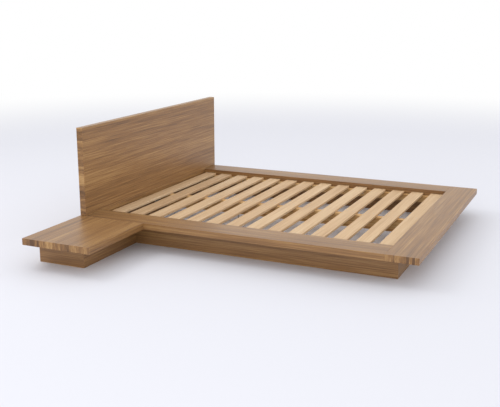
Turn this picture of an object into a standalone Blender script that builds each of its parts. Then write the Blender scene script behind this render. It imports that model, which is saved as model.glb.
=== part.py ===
"""A low platform bed frame with a bedside shelf, built in metres with +Z up.

The foot of the bed faces -Y, the headboard stands at +Y and the shelf reaches out to -X.
The origin is on the floor, under the middle of the whole frame, shelf included.
"""

import math

import bmesh
import bpy
from mathutils import Matrix, Vector

# The mattress that the frame is made for, and the room left round it
MATTRESS_WIDTH = 1.524
MATTRESS_LENGTH = 2.032
SIDE_CLEARANCE = 0.005
HEAD_CLEARANCE = 0.010
FOOT_CLEARANCE = 0.012

# The deck: the ring of planks round the mattress
DECK_THICKNESS = 0.042
SIDE_PLANK_WIDTH = 0.190
FOOT_PLANK_WIDTH = 0.200

# The headboard, which stands on the deck
HEADBOARD_HEIGHT = 0.594
HEADBOARD_THICKNESS = 0.044

# The plinth, set back under the deck
PLINTH_HEIGHT = 0.152
PLINTH_INSET = 0.156
PLINTH_THICKNESS = 0.030

# The bedside shelf
SHELF_REACH = 0.600
SHELF_DEPTH = 0.490

# Slats and what carries them
SLAT_COUNT = 14
SLAT_WIDTH = 0.090
SLAT_THICKNESS = 0.018
SLAT_END_GAP = 0.004
SLAT_BEARING = 0.032
SLAT_MARGIN = 0.020
LEDGER_DROP = 0.002
LEDGER_HEIGHT = 0.050
BEAM_WIDTH = 0.045
BEAM_HEIGHT = 0.090
CLEAT_SIDE = 0.030
CORNER_BLOCK_LEG = 0.055
CORNER_BLOCK_LIFT = 0.012

# Beam hangers, bent from steel sheet
HANGER_SHEET = 0.003
HANGER_SEAT = 0.040
HANGER_FLANGE = 0.028
HANGER_LIP = 0.008

# Steel plates that tie the headboard down, let into the back
TIE_PLATE_WIDTH = 0.060
TIE_PLATE_THICKNESS = 0.005
TIE_PLATE_FOOT = 0.040
TIE_PLATE_RISE = 0.240
TIE_PLATE_FROM_END = 0.150
TIE_PLATE_HOLE = 0.0035
TIE_PLATE_HOLE_INSET = 0.030
LET_IN = 0.0006

# Steel plates let in under the joints of the planks
JOINT_PLATE_WIDTH = 0.080
JOINT_PLATE_LENGTH = 0.140
JOINT_PLATE_THICKNESS = 0.003

# Bolts and sleeve nuts that hold the shelf to the bed
BOLT_RADIUS = 0.004
BOLT_TIP_SHORT = 0.012
SLEEVE_WALL = 0.0011
SLEEVE_LENGTH = 0.022
BOLT_HEAD_RADIUS = 0.008
BOLT_HEAD_HEIGHT = 0.0035
BOLT_LEVEL = 0.050
BOLT_FROM_END = 0.065

# Levelling feet under the centre beam
FOOT_COUNT = 2
STUD_RADIUS = 0.005
STUD_ENGAGEMENT = 0.024
STUD_TRAVEL_UP = 0.008
INSERT_WALL = 0.0014
INSERT_LENGTH = 0.024
INSERT_FLANGE_RADIUS = 0.012
INSERT_FLANGE = 0.002
NUT_ACROSS_FLATS = 0.017
LOCK_NUT_HEIGHT = 0.005
PAD_RADIUS = 0.022
PAD_NECK_RADIUS = 0.0105
PAD_BASE = 0.006
PAD_HEIGHT = 0.013
PAD_SOCKET_DEPTH = 0.008
COLLAR_HEIGHT = 0.006

# Fits and edges
GAP = 0.0003
THREAD_GAP = 0.0004
HOLE_GAP = 0.0005
EDGE = 0.0015
SLAT_EDGE = 0.0025
METAL_EDGE = 0.0005
CUT_OVERRUN = 0.002
SIDES = 24
SMALL_HOLE_SIDES = 16

# Worked out from the sizes above
WELL_WIDTH = MATTRESS_WIDTH + 2 * SIDE_CLEARANCE
WELL_LENGTH = HEAD_CLEARANCE + MATTRESS_LENGTH + FOOT_CLEARANCE
BED_WIDTH = WELL_WIDTH + 2 * SIDE_PLANK_WIDTH
BED_LENGTH = HEADBOARD_THICKNESS + WELL_LENGTH + FOOT_PLANK_WIDTH
BED_RIGHT = (BED_WIDTH + SHELF_REACH) / 2
BED_LEFT = BED_RIGHT - BED_WIDTH
BED_MIDDLE = (BED_LEFT + BED_RIGHT) / 2
HEAD = BED_LENGTH / 2
FOOT = -BED_LENGTH / 2
WELL_LEFT = BED_LEFT + SIDE_PLANK_WIDTH
WELL_RIGHT = BED_RIGHT - SIDE_PLANK_WIDTH
WELL_HEAD = HEAD - HEADBOARD_THICKNESS
WELL_FOOT = FOOT + FOOT_PLANK_WIDTH

DECK_UNDERSIDE = PLINTH_HEIGHT + GAP
DECK_TOP = DECK_UNDERSIDE + DECK_THICKNESS
HEADBOARD_BOTTOM = DECK_TOP + GAP
LEDGER_TOP = PLINTH_HEIGHT - LEDGER_DROP
SLAT_UNDERSIDE = LEDGER_TOP + GAP
BEAM_UNDERSIDE = LEDGER_TOP - BEAM_HEIGHT

PLINTH_LEFT = BED_LEFT + PLINTH_INSET
PLINTH_RIGHT = BED_RIGHT - PLINTH_INSET
PLINTH_FOOT = FOOT + PLINTH_INSET
INSIDE_LEFT = PLINTH_LEFT + PLINTH_THICKNESS
INSIDE_RIGHT = PLINTH_RIGHT - PLINTH_THICKNESS
INSIDE_FOOT = PLINTH_FOOT + PLINTH_THICKNESS
INSIDE_HEAD = HEAD - PLINTH_THICKNESS

SLAT_LEFT = max(WELL_LEFT, INSIDE_LEFT) + SLAT_END_GAP
SLAT_RIGHT = min(WELL_RIGHT, INSIDE_RIGHT) - SLAT_END_GAP

SHELF_END = BED_LEFT - SHELF_REACH
SHELF_FRONT = HEAD - SHELF_DEPTH
SHELF_PLINTH_END = SHELF_END + PLINTH_INSET
SHELF_PLINTH_FRONT = SHELF_FRONT + PLINTH_INSET


def material(name, colour, roughness, metallic=0.0):
    """A Principled material with a linear RGB colour."""
    made = bpy.data.materials.new(name)
    made.use_nodes = True
    shader = made.node_tree.nodes["Principled BSDF"]
    shader.inputs["Base Color"].default_value = (*colour, 1.0)
    shader.inputs["Roughness"].default_value = roughness
    shader.inputs["Metallic"].default_value = metallic
    return made


def make_materials():
    """The finishes of the frame, by name."""
    return {
        "board": material("oiled_board", (0.30, 0.18, 0.09), 0.45),
        "slat": material("raw_slat", (0.62, 0.47, 0.30), 0.65),
        "structure": material("raw_structure", (0.52, 0.38, 0.23), 0.70),
        "steel": material("zinc_plated_steel", (0.62, 0.62, 0.60), 0.35, 1.0),
        "black_steel": material("black_powder_coat", (0.03, 0.03, 0.03), 0.50, 0.0),
        "nylon": material("black_nylon", (0.02, 0.02, 0.02), 0.45),
    }


def object_from(mesh_builder, name, finish):
    """A new object at the origin of the builder's mesh, with its one material."""
    mesh = bpy.data.meshes.new(name)
    mesh_builder.to_mesh(mesh)
    mesh_builder.free()
    if finish is not None:
        mesh.materials.append(finish)
    made = bpy.data.objects.new(name, mesh)
    bpy.context.scene.collection.objects.link(made)
    return made


def chamfered(target, width):
    """Takes the sharp corners off every edge of a piece."""
    bevel = target.modifiers.new("chamfer", "BEVEL")
    bevel.width = width
    bevel.segments = 1
    bevel.limit_method = "ANGLE"
    bevel.harden_normals = False
    return target


def smoothed(target):
    """Shades a round piece smooth, with its corners kept sharp."""
    target.data.shade_smooth()
    target.data.set_sharp_from_angle(angle=math.radians(30))
    return target


def block(name, low, high, finish=None, edge=0.0):
    """A rectangular board between two corners, its origin at its centre."""
    low, high = Vector(low), Vector(high)
    builder = bmesh.new()
    bmesh.ops.create_cube(builder, size=1.0)
    bmesh.ops.scale(builder, vec=high - low, verts=builder.verts)
    made = object_from(builder, name, finish)
    made.location = (low + high) / 2
    if edge:
        chamfered(made, edge)
    return made


def prism(name, outline, bottom, top, finish=None, edge=0.0):
    """A board with a plan outline, given as (x, y) points, extruded from bottom to top."""
    builder = bmesh.new()
    face = builder.faces.new([builder.verts.new((x, y, bottom)) for x, y in outline])
    raised = bmesh.ops.extrude_face_region(builder, geom=[face])["geom"]
    moved = [item for item in raised if isinstance(item, bmesh.types.BMVert)]
    bmesh.ops.translate(builder, vec=(0, 0, top - bottom), verts=moved)
    bmesh.ops.recalc_face_normals(builder, faces=builder.faces)
    made = object_from(builder, name, finish)
    if edge:
        chamfered(made, edge)
    return made


def turned(name, profile, place, finish=None, sides=SIDES, turn=None):
    """A round piece from (radius, height) points, spun about Z at place, then turned by a matrix."""
    builder = bmesh.new()
    points = [builder.verts.new((radius, 0.0, height)) for radius, height in profile]
    edges = [builder.edges.new(pair) for pair in zip(points, points[1:] + points[:1])]
    bmesh.ops.spin(
        builder,
        geom=points + edges,
        axis=(0, 0, 1),
        cent=(0, 0, 0),
        angle=2 * math.pi,
        steps=sides,
        use_merge=True,
    )
    bmesh.ops.remove_doubles(builder, verts=builder.verts, dist=1e-6)
    bmesh.ops.dissolve_degenerate(builder, edges=builder.edges, dist=1e-6)
    bmesh.ops.recalc_face_normals(builder, faces=builder.faces)
    if turn is not None:
        bmesh.ops.transform(builder, matrix=turn, verts=builder.verts)
    made = object_from(builder, name, finish)
    made.location = place
    return smoothed(made)


def rod(name, radius, length, place, finish=None, sides=SIDES, turn=None):
    """A plain cylinder that starts at place and runs up Z, or along a turned Z."""
    builder = bmesh.new()
    bmesh.ops.create_cone(
        builder,
        cap_ends=True,
        segments=sides,
        radius1=radius,
        radius2=radius,
        depth=length,
        matrix=Matrix.Translation((0, 0, length / 2)),
    )
    if turn is not None:
        bmesh.ops.transform(builder, matrix=turn, verts=builder.verts)
    made = object_from(builder, name, finish)
    made.location = place
    return smoothed(made)


def hexagon(across_flats):
    """The corners of a hexagon about the origin."""
    radius = across_flats / math.sqrt(3)
    corners = (math.radians(60 * step) for step in range(6))
    return [(radius * math.cos(turn), radius * math.sin(turn)) for turn in corners]


def cut(target, cutter, operation="DIFFERENCE"):
    """Cuts a hidden helper out of a piece, or joins it on with UNION."""
    cutter.hide_render = True
    cutter.display_type = "WIRE"
    boolean = target.modifiers.new(cutter.name, "BOOLEAN")
    boolean.operation = operation
    boolean.solver = "EXACT"
    boolean.object = cutter


ALONG_X = Matrix.Rotation(math.radians(90), 4, "Y")
ALONG_Y = Matrix.Rotation(math.radians(-90), 4, "X")


def make_deck(finish):
    """The ring of planks round the mattress: a through foot plank, two sides and a head rail."""
    foot_plank = block(
        "foot_plank",
        (BED_LEFT, FOOT, DECK_UNDERSIDE),
        (BED_RIGHT, WELL_FOOT, DECK_TOP),
        finish,
        EDGE,
    )
    sides = {}
    for side, outer, inner in (
        ("left", BED_LEFT, WELL_LEFT),
        ("right", BED_RIGHT, WELL_RIGHT),
    ):
        sides[side] = block(
            f"{side}_side_plank",
            (min(outer, inner), WELL_FOOT + GAP, DECK_UNDERSIDE),
            (max(outer, inner), HEAD, DECK_TOP),
            finish,
            EDGE,
        )
    head_rail = block(
        "head_rail",
        (WELL_LEFT + GAP, WELL_HEAD, DECK_UNDERSIDE),
        (WELL_RIGHT - GAP, HEAD, DECK_TOP),
        finish,
        EDGE,
    )
    return foot_plank, sides, head_rail


def make_headboard(finish):
    """The slab that stands on the back edge of the deck."""
    return block(
        "headboard",
        (BED_LEFT, WELL_HEAD, HEADBOARD_BOTTOM),
        (BED_RIGHT, HEAD, HEADBOARD_BOTTOM + HEADBOARD_HEIGHT),
        finish,
        EDGE,
    )


def make_plinth(finish):
    """The four rails under the deck, mitred at the foot and square at the head."""
    left = prism(
        "left_plinth_rail",
        [
            (PLINTH_LEFT, PLINTH_FOOT + GAP),
            (INSIDE_LEFT, INSIDE_FOOT + GAP),
            (INSIDE_LEFT, HEAD),
            (PLINTH_LEFT, HEAD),
        ],
        0,
        PLINTH_HEIGHT,
        finish,
        EDGE,
    )
    right = prism(
        "right_plinth_rail",
        [
            (PLINTH_RIGHT, PLINTH_FOOT + GAP),
            (PLINTH_RIGHT, HEAD),
            (INSIDE_RIGHT, HEAD),
            (INSIDE_RIGHT, INSIDE_FOOT + GAP),
        ],
        0,
        PLINTH_HEIGHT,
        finish,
        EDGE,
    )
    foot = prism(
        "foot_plinth_rail",
        [
            (PLINTH_LEFT + GAP, PLINTH_FOOT),
            (PLINTH_RIGHT - GAP, PLINTH_FOOT),
            (INSIDE_RIGHT - GAP, INSIDE_FOOT),
            (INSIDE_LEFT + GAP, INSIDE_FOOT),
        ],
        0,
        PLINTH_HEIGHT,
        finish,
        EDGE,
    )
    head = block(
        "head_plinth_rail",
        (INSIDE_LEFT + GAP, INSIDE_HEAD, 0),
        (INSIDE_RIGHT - GAP, HEAD, PLINTH_HEIGHT),
        finish,
        EDGE,
    )
    return {"left": left, "right": right, "foot": foot, "head": head}


def make_corner_blocks(finish):
    """Three-cornered glue blocks in the plinth's inside corners, under the ledgers."""
    top = LEDGER_TOP - LEDGER_HEIGHT - GAP
    for end, corner_y, inward_y in (("head", INSIDE_HEAD, -1), ("foot", INSIDE_FOOT, 1)):
        for side, corner_x, inward_x in (("left", INSIDE_LEFT, 1), ("right", INSIDE_RIGHT, -1)):
            x, y = corner_x + inward_x * GAP, corner_y + inward_y * GAP
            outline = [
                (x, y),
                (x + inward_x * CORNER_BLOCK_LEG, y),
                (x, y + inward_y * CORNER_BLOCK_LEG),
            ]
            prism(f"{end}_{side}_corner_block", outline, CORNER_BLOCK_LIFT, top, finish)


def make_cleats(finish):
    """Strips in the angle of plinth and overhang, which the planks are screwed down through."""
    bottom, top = PLINTH_HEIGHT - CLEAT_SIDE, PLINTH_HEIGHT
    for name, rail, outward, start, end in (
        ("left_cleat", PLINTH_LEFT, -1, PLINTH_FOOT, SHELF_PLINTH_FRONT - GAP),
        ("right_cleat", PLINTH_RIGHT, 1, PLINTH_FOOT, HEAD),
        ("shelf_end_cleat", SHELF_PLINTH_END, -1, SHELF_PLINTH_FRONT, HEAD),
    ):
        near, far = sorted((rail + outward * GAP, rail + outward * CLEAT_SIDE))
        block(name, (near, start, bottom), (far, end, top), finish, EDGE)
    for name, rail, start, end in (
        ("foot_cleat", PLINTH_FOOT, PLINTH_LEFT, PLINTH_RIGHT),
        ("shelf_front_cleat", SHELF_PLINTH_FRONT, SHELF_PLINTH_END, BED_LEFT - GAP),
    ):
        block(name, (start, rail - CLEAT_SIDE, bottom), (end, rail - GAP, top), finish, EDGE)


def make_ledgers(finish):
    """Strips inside the plinth that the slat ends lie on."""
    start, end = INSIDE_FOOT + GAP, INSIDE_HEAD - GAP
    bottom = LEDGER_TOP - LEDGER_HEIGHT
    for name, near, far in (
        ("left_ledger", INSIDE_LEFT + GAP, SLAT_LEFT + SLAT_BEARING),
        ("right_ledger", SLAT_RIGHT - SLAT_BEARING, INSIDE_RIGHT - GAP),
    ):
        block(name, (near, start, bottom), (far, end, LEDGER_TOP), finish, EDGE)


def slat_centres():
    """The Y of each slat's centre line, foot first, evenly spread along the mattress well."""
    first = max(WELL_FOOT, INSIDE_FOOT) + SLAT_MARGIN + SLAT_WIDTH / 2
    last = min(WELL_HEAD, INSIDE_HEAD) - SLAT_MARGIN - SLAT_WIDTH / 2
    pitch = (last - first) / (SLAT_COUNT - 1)
    return [first + pitch * number for number in range(SLAT_COUNT)]


def make_slats(finish):
    """The slats, which share one mesh."""
    half = Vector(((SLAT_RIGHT - SLAT_LEFT) / 2, SLAT_WIDTH / 2, SLAT_THICKNESS / 2))
    middle = Vector(((SLAT_LEFT + SLAT_RIGHT) / 2, 0, SLAT_UNDERSIDE + SLAT_THICKNESS / 2))
    first = None
    for number, centre in enumerate(slat_centres(), start=1):
        name = f"slat_{number:02d}"
        if first is None:
            first = block(name, middle - half, middle + half, finish)
            slat = first
        else:
            slat = bpy.data.objects.new(name, first.data)
            bpy.context.scene.collection.objects.link(slat)
        slat.location = (middle.x, centre, middle.z)
        chamfered(slat, SLAT_EDGE)


def beam_ends():
    """Where the centre beam starts and stops, clear of the hangers' backs."""
    reach = HANGER_SHEET + 2 * GAP
    return INSIDE_FOOT + reach, INSIDE_HEAD - reach


def make_hanger(name, wall, inward, finish):
    """A beam hanger: a back with two flanges on a plinth rail, and a seat with cheeks round the beam."""
    half = BEAM_WIDTH / 2 + GAP
    outside = half + HANGER_SHEET
    back = sorted((wall + inward * GAP, wall + inward * (GAP + HANGER_SHEET)))
    bottom, top = BEAM_UNDERSIDE - GAP - HANGER_SHEET, LEDGER_TOP - HANGER_LIP
    hanger = block(
        name,
        (BED_MIDDLE - outside - HANGER_FLANGE, back[0], bottom),
        (BED_MIDDLE + outside + HANGER_FLANGE, back[1], top),
        finish,
    )
    reach = sorted((wall + inward * GAP, wall + inward * HANGER_SEAT))
    cradle = block(
        f"{name}_cradle",
        (BED_MIDDLE - outside, reach[0], bottom),
        (BED_MIDDLE + outside, reach[1], top),
    )
    hollow = sorted(
        (wall + inward * (GAP + HANGER_SHEET), wall + inward * (HANGER_SEAT + CUT_OVERRUN))
    )
    inside = block(
        f"{name}_inside",
        (BED_MIDDLE - half, hollow[0], BEAM_UNDERSIDE - GAP),
        (BED_MIDDLE + half, hollow[1], top + CUT_OVERRUN),
    )
    cut(hanger, cradle, "UNION")
    cut(hanger, inside)


def foot_places():
    """The Y of each levelling foot, evenly spread along the centre beam."""
    start, end = beam_ends()
    step = (end - start) / (FOOT_COUNT + 1)
    return [start + step * number for number in range(1, FOOT_COUNT + 1)]


def make_beam(finish):
    """The centre beam under the slats, bored from below for the levelling feet."""
    start, end = beam_ends()
    beam = block(
        "centre_beam",
        (BED_MIDDLE - BEAM_WIDTH / 2, start, BEAM_UNDERSIDE),
        (BED_MIDDLE + BEAM_WIDTH / 2, end, LEDGER_TOP),
        finish,
        EDGE,
    )
    seat = STUD_RADIUS + THREAD_GAP + INSERT_WALL + GAP
    shank = STUD_RADIUS + HOLE_GAP
    mouth = BEAM_UNDERSIDE - CUT_OVERRUN
    step = BEAM_UNDERSIDE + INSERT_LENGTH + GAP
    top = BEAM_UNDERSIDE + STUD_ENGAGEMENT + STUD_TRAVEL_UP + CUT_OVERRUN
    profile = [(0, mouth), (seat, mouth), (seat, step), (shank, step), (shank, top), (0, top)]
    for number, place in enumerate(foot_places(), start=1):
        cut(beam, turned(f"foot_bore_{number}", profile, (BED_MIDDLE, place, 0)))


def make_levelling_foot(number, place, finishes):
    """One levelling foot: a flanged insert, a lock nut, a stud with a hexagon collar and a pad."""
    at = (BED_MIDDLE, place, 0)
    bore = STUD_RADIUS + THREAD_GAP
    barrel = bore + INSERT_WALL
    flange_bottom = BEAM_UNDERSIDE - GAP - INSERT_FLANGE
    flange_top = BEAM_UNDERSIDE - GAP
    insert_top = BEAM_UNDERSIDE + INSERT_LENGTH
    insert = [
        (bore, flange_bottom),
        (INSERT_FLANGE_RADIUS, flange_bottom),
        (INSERT_FLANGE_RADIUS, flange_top),
        (barrel, flange_top),
        (barrel, insert_top),
        (bore, insert_top),
    ]
    turned(f"foot_insert_{number}", insert, at, finishes["steel"])

    nut_top = flange_bottom - GAP
    nut_outline = hexagon(NUT_ACROSS_FLATS)
    nut = prism(
        f"foot_lock_nut_{number}",
        nut_outline,
        nut_top - LOCK_NUT_HEIGHT,
        nut_top,
        finishes["steel"],
        METAL_EDGE,
    )
    nut.location = at
    nut_hole = rod(
        f"lock_nut_hole_{number}",
        bore,
        LOCK_NUT_HEIGHT + 2 * CUT_OVERRUN,
        (BED_MIDDLE, place, nut_top - LOCK_NUT_HEIGHT - CUT_OVERRUN),
    )
    cut(nut, nut_hole)

    socket_floor = PAD_HEIGHT - PAD_SOCKET_DEPTH
    pad = [
        (0, 0),
        (PAD_RADIUS, 0),
        (PAD_RADIUS, PAD_BASE),
        (PAD_NECK_RADIUS, PAD_BASE + GAP),
        (PAD_NECK_RADIUS, PAD_HEIGHT),
        (bore, PAD_HEIGHT),
        (bore, socket_floor),
        (0, socket_floor),
    ]
    turned(f"foot_pad_{number}", pad, at, finishes["nylon"])

    collar_bottom = PAD_HEIGHT + GAP
    stud_bottom = socket_floor + GAP
    stud_top = BEAM_UNDERSIDE + STUD_ENGAGEMENT
    stud = prism(
        f"foot_stud_{number}",
        nut_outline,
        collar_bottom,
        collar_bottom + COLLAR_HEIGHT,
        finishes["steel"],
        METAL_EDGE,
    )
    stud.location = at
    shank = rod(
        f"stud_shank_{number}",
        STUD_RADIUS,
        stud_top - stud_bottom,
        (BED_MIDDLE, place, stud_bottom),
    )
    cut(stud, shank, "UNION")


def make_shelf(finish, hidden_finish):
    """The bedside shelf: its top, and a plinth whose rails run in under the side plank."""
    top = block(
        "shelf_top",
        (SHELF_END, SHELF_FRONT, DECK_UNDERSIDE),
        (BED_LEFT - GAP, HEAD, DECK_TOP),
        finish,
        EDGE,
    )
    inner_end = SHELF_PLINTH_END + PLINTH_THICKNESS
    inner_front = SHELF_PLINTH_FRONT + PLINTH_THICKNESS
    bed_side = PLINTH_LEFT - GAP
    prism(
        "shelf_end_rail",
        [
            (SHELF_PLINTH_END, SHELF_PLINTH_FRONT + GAP),
            (inner_end, inner_front + GAP),
            (inner_end, INSIDE_HEAD - GAP),
            (SHELF_PLINTH_END, HEAD - GAP),
        ],
        0,
        PLINTH_HEIGHT,
        finish,
        EDGE,
    )
    prism(
        "shelf_front_rail",
        [
            (SHELF_PLINTH_END + GAP, SHELF_PLINTH_FRONT),
            (bed_side, SHELF_PLINTH_FRONT),
            (bed_side, inner_front),
            (inner_end + GAP, inner_front),
        ],
        0,
        PLINTH_HEIGHT,
        finish,
        EDGE,
    )
    prism(
        "shelf_back_rail",
        [
            (inner_end + GAP, INSIDE_HEAD),
            (bed_side, INSIDE_HEAD),
            (bed_side, HEAD),
            (SHELF_PLINTH_END + GAP, HEAD),
        ],
        0,
        PLINTH_HEIGHT,
        finish,
        EDGE,
    )
    inner_rail = block(
        "shelf_inner_rail",
        (bed_side - PLINTH_THICKNESS, inner_front + GAP, 0),
        (bed_side, INSIDE_HEAD - GAP, PLINTH_HEIGHT),
        hidden_finish,
        EDGE,
    )
    return top, inner_rail


def make_shelf_bolts(bed_rail, shelf_rail, finish):
    """Bolts from inside the bed's plinth into sleeve nuts on the shelf's inner rail."""
    bed_face = INSIDE_LEFT
    shelf_face = PLINTH_LEFT - GAP - PLINTH_THICKNESS
    length = bed_face - shelf_face - BOLT_TIP_SHORT
    head = BOLT_HEAD_RADIUS
    bore = BOLT_RADIUS + THREAD_GAP
    barrel = bore + SLEEVE_WALL
    for name, y in (
        ("front", SHELF_PLINTH_FRONT + PLINTH_THICKNESS + BOLT_FROM_END),
        ("back", INSIDE_HEAD - BOLT_FROM_END),
    ):
        shank = [
            (0, -length),
            (BOLT_RADIUS, -length),
            (BOLT_RADIUS, GAP),
            (head, GAP),
            (head, GAP + BOLT_HEAD_HEIGHT),
            (0, GAP + BOLT_HEAD_HEIGHT),
        ]
        turned(f"shelf_bolt_{name}", shank, (bed_face, y, BOLT_LEVEL), finish, turn=ALONG_X)
        sleeve = [
            (bore, -GAP - BOLT_HEAD_HEIGHT),
            (head, -GAP - BOLT_HEAD_HEIGHT),
            (head, -GAP),
            (barrel, -GAP),
            (barrel, SLEEVE_LENGTH),
            (bore, SLEEVE_LENGTH),
        ]
        turned(f"shelf_nut_{name}", sleeve, (shelf_face, y, BOLT_LEVEL), finish, turn=ALONG_X)
        through = PLINTH_THICKNESS + 2 * CUT_OVERRUN
        for rail, start, radius in (
            (bed_rail, PLINTH_LEFT, BOLT_RADIUS + HOLE_GAP),
            (shelf_rail, shelf_face, barrel + HOLE_GAP),
        ):
            place = (start - CUT_OVERRUN, y, BOLT_LEVEL)
            cut(rail, rod(f"{rail.name}_{name}_hole", radius, through, place, turn=ALONG_X))


def make_tie_plates(headboard, head_rail, head_plinth_rail, finish):
    """Flat steel plates let into the back of headboard, head rail and plinth, bored for screws."""
    back = HEAD - LET_IN
    front = back - TIE_PLATE_THICKNESS
    bottom, top = TIE_PLATE_FOOT, HEADBOARD_BOTTOM + TIE_PLATE_RISE
    inset = TIE_PLATE_HOLE_INSET
    levels = (
        bottom + inset,
        PLINTH_HEIGHT - inset,
        HEADBOARD_BOTTOM + inset,
        (HEADBOARD_BOTTOM + top) / 2,
        top - inset,
    )
    half = TIE_PLATE_WIDTH / 2
    for name, x in (
        ("left", INSIDE_LEFT + TIE_PLATE_FROM_END),
        ("centre", BED_MIDDLE),
        ("right", INSIDE_RIGHT - TIE_PLATE_FROM_END),
    ):
        plate = block(
            f"headboard_plate_{name}",
            (x - half, front, bottom),
            (x + half, back, top),
            finish,
        )
        for number, level in enumerate(levels, start=1):
            place = (x, front - CUT_OVERRUN, level)
            length = TIE_PLATE_THICKNESS + 2 * CUT_OVERRUN
            hole = rod(
                f"{name}_plate_hole_{number}",
                TIE_PLATE_HOLE,
                length,
                place,
                sides=SMALL_HOLE_SIDES,
                turn=ALONG_Y,
            )
            cut(plate, hole)
        recess = block(
            f"{name}_plate_recess",
            (x - half - LET_IN, front - LET_IN, bottom - LET_IN),
            (x + half + LET_IN, HEAD + CUT_OVERRUN, top + LET_IN),
        )
        for piece in (headboard, head_rail, head_plinth_rail):
            cut(piece, recess)


def make_joint_plates(sides, foot_plank, shelf_top, finish):
    """Steel plates let in under the joints of the side planks with the foot plank and the shelf."""
    from_edge = (PLINTH_INSET - CLEAT_SIDE) / 2
    across = (JOINT_PLATE_WIDTH / 2, JOINT_PLATE_LENGTH / 2)
    bottom = DECK_UNDERSIDE + LET_IN
    top = bottom + JOINT_PLATE_THICKNESS
    for name, x, y, (half_x, half_y), joined in (
        ("left_foot", BED_LEFT + from_edge, WELL_FOOT, across, (sides["left"], foot_plank)),
        ("right_foot", BED_RIGHT - from_edge, WELL_FOOT, across, (sides["right"], foot_plank)),
        ("shelf", BED_LEFT, SHELF_FRONT + from_edge, across[::-1], (sides["left"], shelf_top)),
    ):
        block(
            f"{name}_joint_plate",
            (x - half_x, y - half_y, bottom),
            (x + half_x, y + half_y, top),
            finish,
        )
        recess = block(
            f"{name}_joint_recess",
            (x - half_x - LET_IN, y - half_y - LET_IN, DECK_UNDERSIDE - CUT_OVERRUN),
            (x + half_x + LET_IN, y + half_y + LET_IN, top + LET_IN),
        )
        for plank in joined:
            cut(plank, recess)


def main():
    """Clears the scene and builds the bed frame."""
    for old in list(bpy.data.objects):
        bpy.data.objects.remove(old)
    finishes = make_materials()
    foot_plank, sides, head_rail = make_deck(finishes["board"])
    headboard = make_headboard(finishes["board"])
    plinth = make_plinth(finishes["board"])
    make_corner_blocks(finishes["structure"])
    make_cleats(finishes["board"])
    make_ledgers(finishes["structure"])
    make_slats(finishes["slat"])
    make_beam(finishes["structure"])
    make_hanger("head_beam_hanger", INSIDE_HEAD, -1, finishes["steel"])
    make_hanger("foot_beam_hanger", INSIDE_FOOT, 1, finishes["steel"])
    for number, place in enumerate(foot_places(), start=1):
        make_levelling_foot(number, place, finishes)
    shelf_top, shelf_inner_rail = make_shelf(finishes["board"], finishes["structure"])
    make_shelf_bolts(plinth["left"], shelf_inner_rail, finishes["steel"])
    make_tie_plates(headboard, head_rail, plinth["head"], finishes["black_steel"])
    make_joint_plates(sides, foot_plank, shelf_top, finishes["steel"])


main()
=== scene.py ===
"""The looks of a low platform bed frame with a bedside shelf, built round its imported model.

Every length is in metres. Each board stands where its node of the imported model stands. The bed's
foot faces -Y, its headboard is at +Y, and the shelf reaches out to -X.
"""

import logging
import math
import random
from collections.abc import Callable, Iterable, Iterator, Sequence
from contextlib import contextmanager
from dataclasses import dataclass, field
from enum import Enum
from functools import cache, partial
from itertools import product

import bpy
from bpy.types import Material, Mesh, MeshEdge, Node, NodeSocket, NodeTree, Object
from mathutils import Matrix, Vector


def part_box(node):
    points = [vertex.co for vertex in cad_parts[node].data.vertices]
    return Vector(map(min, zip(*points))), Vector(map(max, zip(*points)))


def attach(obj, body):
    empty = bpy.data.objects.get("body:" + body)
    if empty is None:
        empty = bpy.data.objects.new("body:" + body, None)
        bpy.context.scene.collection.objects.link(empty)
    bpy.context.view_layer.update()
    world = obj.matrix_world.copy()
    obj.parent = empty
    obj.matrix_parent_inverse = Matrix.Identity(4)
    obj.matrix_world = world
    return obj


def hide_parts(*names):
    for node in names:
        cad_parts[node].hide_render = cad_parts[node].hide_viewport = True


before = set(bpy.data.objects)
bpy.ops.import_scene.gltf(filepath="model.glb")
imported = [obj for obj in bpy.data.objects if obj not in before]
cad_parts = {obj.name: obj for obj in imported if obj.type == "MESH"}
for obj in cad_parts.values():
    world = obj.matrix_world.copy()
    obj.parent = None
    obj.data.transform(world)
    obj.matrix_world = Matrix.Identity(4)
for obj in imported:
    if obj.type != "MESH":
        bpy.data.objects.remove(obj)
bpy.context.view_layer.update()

BED = "bed"
LEVELLING_FEET = (1, 2)
TIE_PLATES = ("headboard_plate_left", "headboard_plate_centre", "headboard_plate_right")
JOINT_PLATES = ("left_foot_joint_plate", "right_foot_joint_plate", "shelf_joint_plate")
MM = 0.001
UP, DOWN, BACK = Vector((0, 0, 1)), Vector((0, 0, -1)), Vector((0, 1, 0))
# the ways that the mitres of the plinths' outer corners look
FOOT_LEFT = Vector((-1, 1, 0)).normalized()
FOOT_RIGHT = Vector((1, 1, 0)).normalized()
HEAD_LEFT = Vector((-1, -1, 0)).normalized()
LOG = logging.getLogger("bed_frame")


class Axis(Enum):
    """The three directions of the frame."""

    X = 0
    Y = 1
    Z = 2


class Side(Enum):
    """The two sides of the bed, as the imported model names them."""

    LEFT = "left"
    RIGHT = "right"


# ---- Finishes ----


def linear(colour: str) -> tuple[float, float, float, float]:
    """Turns an sRGB colour into the linear numbers that sockets hold.

    Args:
        colour: A hex colour such as "#8A6642".

    Returns:
        Red, green, blue and an alpha of one.
    """
    parts = [int(colour[start : start + 2], 16) / 255 for start in (1, 3, 5)]
    bent = [part / 12.92 if part <= 0.04045 else ((part + 0.055) / 1.055) ** 2.4 for part in parts]
    return (bent[0], bent[1], bent[2], 1.0)


def plug(node: Node, inputs: dict) -> None:
    """Fills a node's inputs.

    Args:
        node: The node.
        inputs: For each input, by name or number, a constant or an output to link.
    """
    for name, value in inputs.items():
        if isinstance(value, NodeSocket):
            node.id_data.links.new(value, node.inputs[name])
        else:
            node.inputs[name].default_value = value


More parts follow.
